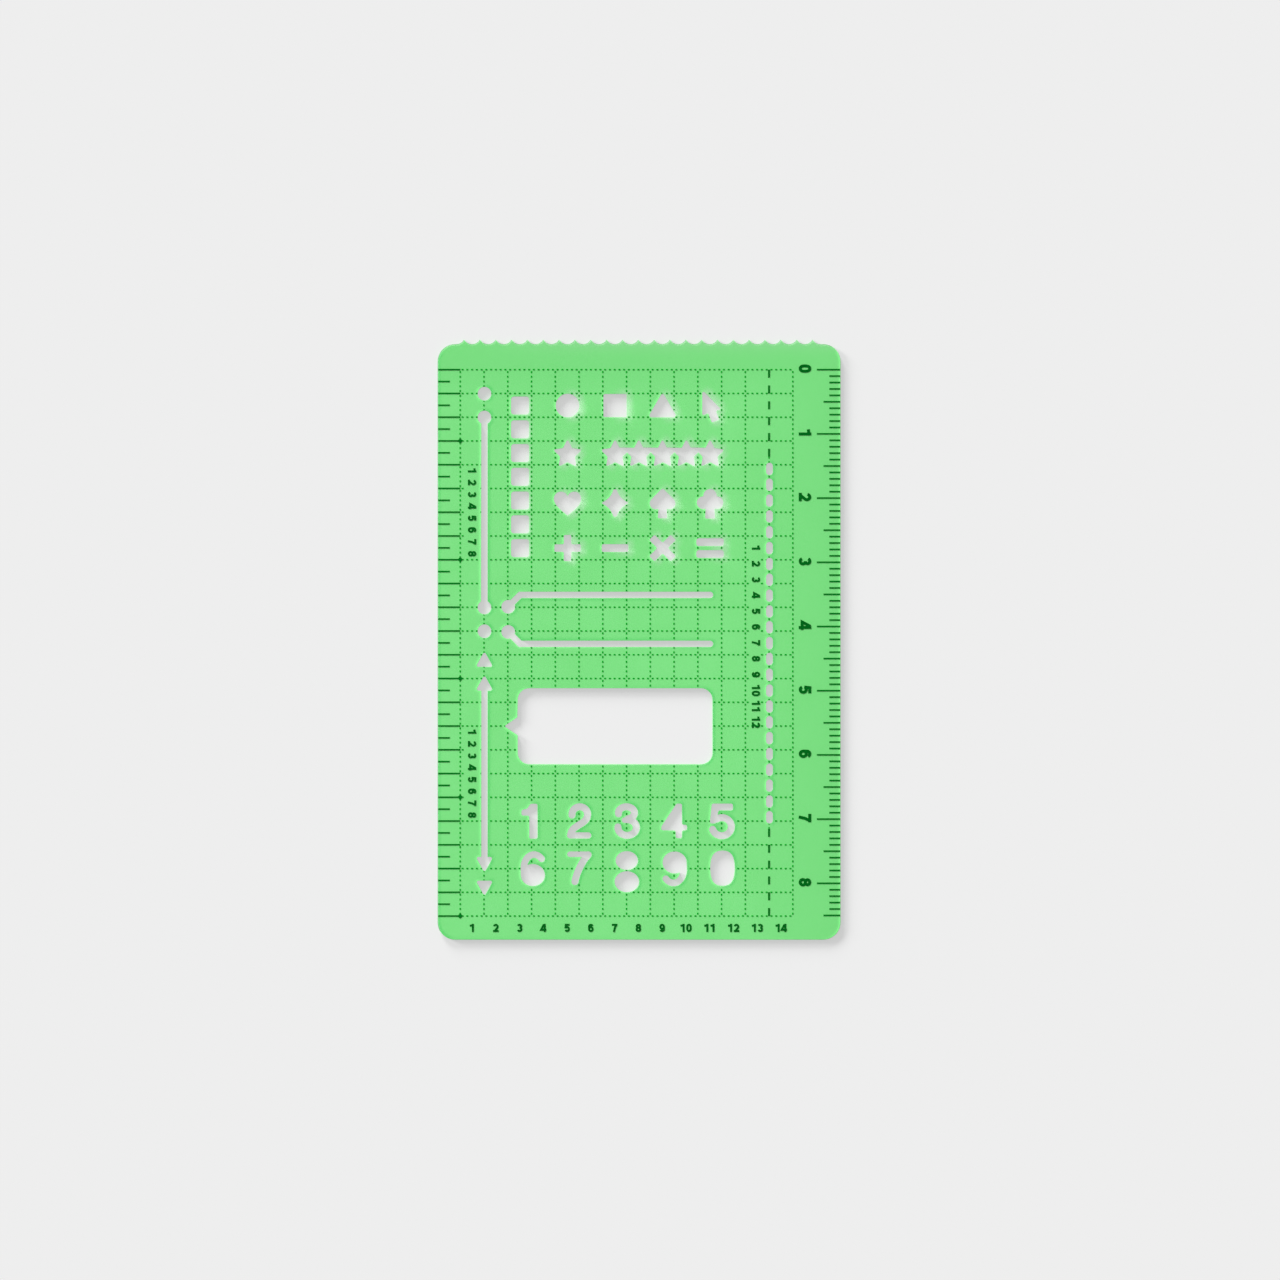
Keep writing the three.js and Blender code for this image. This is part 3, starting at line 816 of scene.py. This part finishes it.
def column_numbers():
    """The columns of the grid, counted along the bottom edge."""
    bm = bmesh.new()
    y = row_y(ROWS) - COLUMN_NUMBER_DROP
    for column in range(COLUMNS):
        x = column_x(column + 0.5)
        print_number(bm, column + 1, x, y, COLUMN_NUMBER_HEIGHT, False)
    finished("column_numbers", bm, (number_ink,))


def short_ticks():
    """The half rows at the left edge and the single millimetres of the ruler at the right edge."""
    bm = bmesh.new()
    edge_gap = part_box("row_tick_1")[0].x - sheet_low.x
    for row in range(ROWS):
        y = row_y(row + 0.5)
        x = sheet_low.x + edge_gap
        path = [(x, y), (x + HALF_ROW_TICK, y)]
        ribbon(bm, path, TICK_WIDTH, TOP, TOP + INK_THICKNESS)
    for millimetre in range(MILLIMETRES + 1):
        if millimetre % LONG_TICK_STEP == 0:
            continue
        y = ruler_zero - millimetre * MM
        x = sheet_high.x - edge_gap
        ribbon(bm, [(x - MILLIMETRE_TICK, y), (x, y)], TICK_WIDTH, TOP, TOP + INK_THICKNESS)
    finished("short_ticks", bm, (line_ink,))


def dot_outline(x, y, across, up):
    """A short dash of the grid with rounded corners."""
    rounding = min(DOT_ROUNDING, across / 3, up / 3)
    points = []
    for side_x, side_y, start in ((1, 1, 0), (-1, 1, 90), (-1, -1, 180), (1, -1, 270)):
        centre_x = x + side_x * (across / 2 - rounding)
        centre_y = y + side_y * (up / 2 - rounding)
        points += arc(centre_x, centre_y, rounding, rounding, start, start + 90, DOT_CORNER_STEPS)
    return points


def dot_places():
    """The middles of the grid's dots, and whether each lies along a row."""
    places = []
    for row in range(ROWS + 1):
        for step in range(COLUMNS * DOTS_PER_CELL):
            places.append((column_x((step + 0.5) / DOTS_PER_CELL), row_y(row), True))
    upper, lower = (middle(node).y for node in BROKEN_LINE_ENDS)
    for column in range(COLUMNS + 1):
        for step in range(ROWS * DOTS_PER_CELL):
            y = row_y((step + 0.5) / DOTS_PER_CELL)
            if column != BROKEN_LINE_COLUMN or lower < y < upper:
                places.append((column_x(column), y, False))
    return places


def printed_span(held):
    """The first and last slice of a dot that may be printed, as shares of its length."""
    slices = np.flatnonzero(held)
    if len(slices) < DOT_LEAST * DOT_SLICES:
        return None
    return slices[0] / DOT_SLICES - 0.5, (slices[-1] + 1) / DOT_SLICES - 0.5


def grid_dots():
    """The dotted lines of the grid, cut off by the openings and left out among the numbers."""
    places = dot_places()
    samples = []
    for x, y, along_x in places:
        for index in range(DOT_SLICES):
            along = ((index + 0.5) / DOT_SLICES - 0.5) * DOT_LENGTH
            for side in (-DOT_WIDTH / 2, DOT_WIDTH / 2):
                samples.append((x + along, y + side) if along_x else (x + side, y + along))
    held = on_plastic(samples).reshape(-1, DOT_SLICES, 2).all(axis=2)
    bm = bmesh.new()
    for (x, y, along_x), slices in zip(places, held):
        span = printed_span(slices)
        if not span or any(a < x < b and c < y < d for a, b, c, d in label_strips):
            continue
        length = (span[1] - span[0]) * DOT_LENGTH
        shift = (span[0] + span[1]) / 2 * DOT_LENGTH
        if along_x:
            outline = dot_outline(x + shift, y, length, DOT_WIDTH)
        else:
            outline = dot_outline(x, y + shift, DOT_WIDTH, length)
        prism(bm, outline, TOP, TOP + DOT_THICKNESS)
    finished("grid_dots", bm, (dot_ink,))


ruler_numbers()
side_numbers()
column_numbers()
short_ticks()
grid_dots()
for name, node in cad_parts.items():
    if name != SHEET:
        node.data.materials.clear()
        node.data.materials.append(line_ink)


# Stage

def floor():
    """A plain pale floor that keeps the soft shadow."""
    half = FLOOR_SIZE / 2
    mesh = bpy.data.meshes.new("floor")
    corners = [(-half, -half, 0), (half, -half, 0), (half, half, 0), (-half, half, 0)]
    mesh.from_pydata(corners, [], [(0, 1, 2, 3)])
    made = bpy.data.objects.new("floor", mesh)
    made.location.z = sheet_low.z - FLOOR_GAP
    bpy.context.scene.collection.objects.link(made)
    paper, tree, output = material("pale_floor")
    path = tree.nodes.new("ShaderNodeLightPath")
    plain = tree.nodes.new("ShaderNodeBsdfDiffuse")
    plain.inputs["Color"].default_value = (PAPER_COLOUR, PAPER_COLOUR, PAPER_COLOUR, 1)
    lit = tree.nodes.new("ShaderNodeBsdfDiffuse")
    lit.inputs["Color"].default_value = (FLOOR_COLOUR, FLOOR_COLOUR, FLOOR_COLOUR, 1)
    glow = tree.nodes.new("ShaderNodeEmission")
    glow.inputs["Strength"].default_value = FLOOR_GLOW
    both = tree.nodes.new("ShaderNodeAddShader")
    mix = tree.nodes.new("ShaderNodeMixShader")
    tree.links.new(lit.outputs["BSDF"], both.inputs[0])
    tree.links.new(glow.outputs["Emission"], both.inputs[1])
    bare = worked(tree, "LESS_THAN", path.outputs["Transparent Depth"], BARE_DEPTH)
    tree.links.new(worked(tree, "MULTIPLY", bare, shows_background(path)), mix.inputs["Fac"])
    tree.links.new(plain.outputs["BSDF"], mix.inputs[1])
    tree.links.new(both.outputs["Shader"], mix.inputs[2])
    tree.links.new(mix.outputs["Shader"], output.inputs["Surface"])
    mesh.materials.append(paper)


def light():
    """Two soft lamps from the upper left, and an even sky."""
    for name, turn, rise, breadth, share in SUNS:
        azimuth = math.radians(turn)
        elevation = math.radians(rise)
        lamp = bpy.data.lights.new(name, "SUN")
        lamp.energy = share * math.pi / math.sin(elevation)
        lamp.angle = math.radians(breadth)
        sun = bpy.data.objects.new(name, lamp)
        source = Vector((-math.cos(azimuth), math.sin(azimuth), 0)) * math.cos(elevation)
        source.z = math.sin(elevation)
        sun.rotation_euler = source.to_track_quat("Z", "Y").to_euler()
        bpy.context.scene.collection.objects.link(sun)
    world = bpy.data.worlds.new("sky")
    world.use_nodes = True
    tree = world.node_tree
    tree.nodes.clear()
    output = tree.nodes.new("ShaderNodeOutputWorld")
    path = tree.nodes.new("ShaderNodeLightPath")
    sky = tree.nodes.new("ShaderNodeBackground")
    sky.inputs["Color"].default_value = (1, 1, 1, 1)
    sky.inputs["Strength"].default_value = SKY_SHARE
    seen = tree.nodes.new("ShaderNodeBackground")
    seen.inputs["Color"].default_value = (1, 1, 1, 1)
    seen.inputs["Strength"].default_value = BACKDROP
    mix = tree.nodes.new("ShaderNodeMixShader")
    tree.links.new(shows_background(path), mix.inputs["Fac"])
    tree.links.new(sky.outputs["Background"], mix.inputs[1])
    tree.links.new(seen.outputs["Background"], mix.inputs[2])
    tree.links.new(mix.outputs["Shader"], output.inputs["Surface"])
    bpy.context.scene.world = world


def camera():
    """A camera straight above the sheet, with the photograph's framing."""
    data = bpy.data.cameras.new("camera")
    data.lens = LENS
    data.sensor_width = SENSOR
    made = bpy.data.objects.new("camera", data)
    made.location = (*VIEW_CENTRE, TOP + VIEW_WIDTH * LENS / SENSOR)
    bpy.context.scene.collection.objects.link(made)
    bpy.context.scene.camera = made


floor()
light()
camera()
bpy.context.scene.view_settings.view_transform = "Standard"
